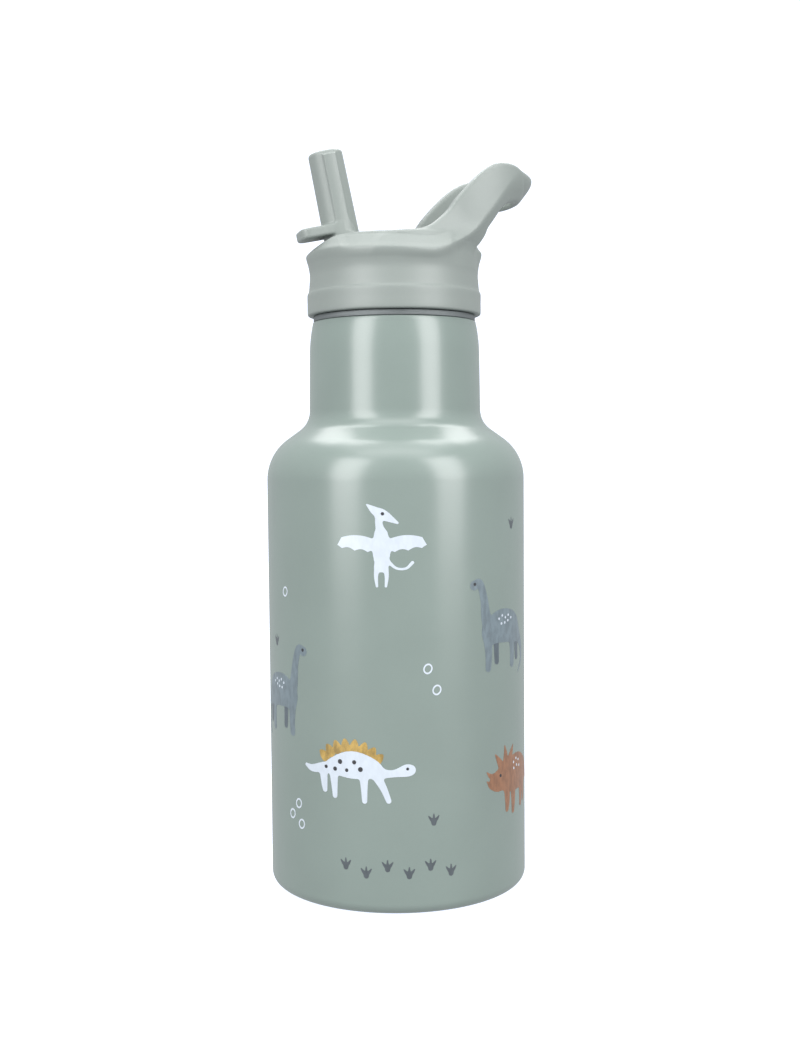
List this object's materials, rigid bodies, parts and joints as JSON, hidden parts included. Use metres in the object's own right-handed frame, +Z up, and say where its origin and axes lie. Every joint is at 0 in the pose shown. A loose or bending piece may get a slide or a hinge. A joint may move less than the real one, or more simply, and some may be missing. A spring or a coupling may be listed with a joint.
{
  "type": "drinking bottle",
  "caption": "Double-walled steel drinking bottle for a child, with a screw lid, a fixed carry loop, a flip spout that folds into the lid, and a straw.",
  "frame": {"origin": "centre of the flask's foot, on the surface that it stands on", "axes": "+Z up the flask's axis; +X towards the carry loop, -X towards the open spout; the lid is symmetrical about Y = 0"},
  "size_m": [0.0725, 0.068, 0.1927],
  "materials": {
    "paint": "satin powder coat, sage grey-green, with printed animal motifs",
    "steel": "electropolished stainless steel",
    "steel_brushed": "bare brushed stainless steel",
    "solder": "dull brazed bead",
    "getter_alloy": "dull sintered metal",
    "copper_foil": "thin copper foil",
    "lid_plastic": "satin moulded polypropylene, sage grey-green",
    "spout_plastic": "satin moulded polypropylene, sage grey-green",
    "core_plastic": "smooth natural polypropylene",
    "silicone": "soft matt silicone, off-white",
    "seal_rubber": "soft dark rubber",
    "straw_plastic": "translucent polypropylene",
    "prints": "printed ink figures on the paint: white, ochre, slate blue and rust"
  },
  "bodies": {
    "bottle": {"outer_shell": "paint", "base_pan": "steel", "base_disc": "steel_brushed", "port_seal": "solder", "getter": "getter_alloy", "foil_wrap": "copper_foil", "inner_liner": "steel", "liner_bottom": "steel", "mouth_ring": "steel_brushed"},
    "seal": {"mouth_gasket": "silicone"},
    "lid": {"lid_cap": "lid_plastic", "lid_core": "core_plastic", "core_oring": "seal_rubber", "spout_seat": "silicone", "vent_valve": "silicone", "straw": "straw_plastic"},
    "spout": {"spout": "spout_plastic"}
  },
  "joints": [
    {"name": "lid_rise", "type": "slide", "parent": "bottle", "child": "seal", "axis": [0, 0, 1], "range_m": [0, 0.00601]},
    {"name": "lid_turn", "type": "hinge", "parent": "seal", "child": "lid", "pos_m": [0, 0, 0.155], "axis": [0, 0, 1], "range_deg": [0, 540]},
    {"name": "spout_flip", "type": "hinge", "parent": "lid", "child": "spout", "pos_m": [-0.0131, 0, 0.1658], "axis": [0, 1, 0], "range_deg": [0, 101.3]}
  ],
  "couplings": [
    {"joint": "lid_rise", "follows": "lid_turn", "m_per_rad": 0.00063662}
  ]
}
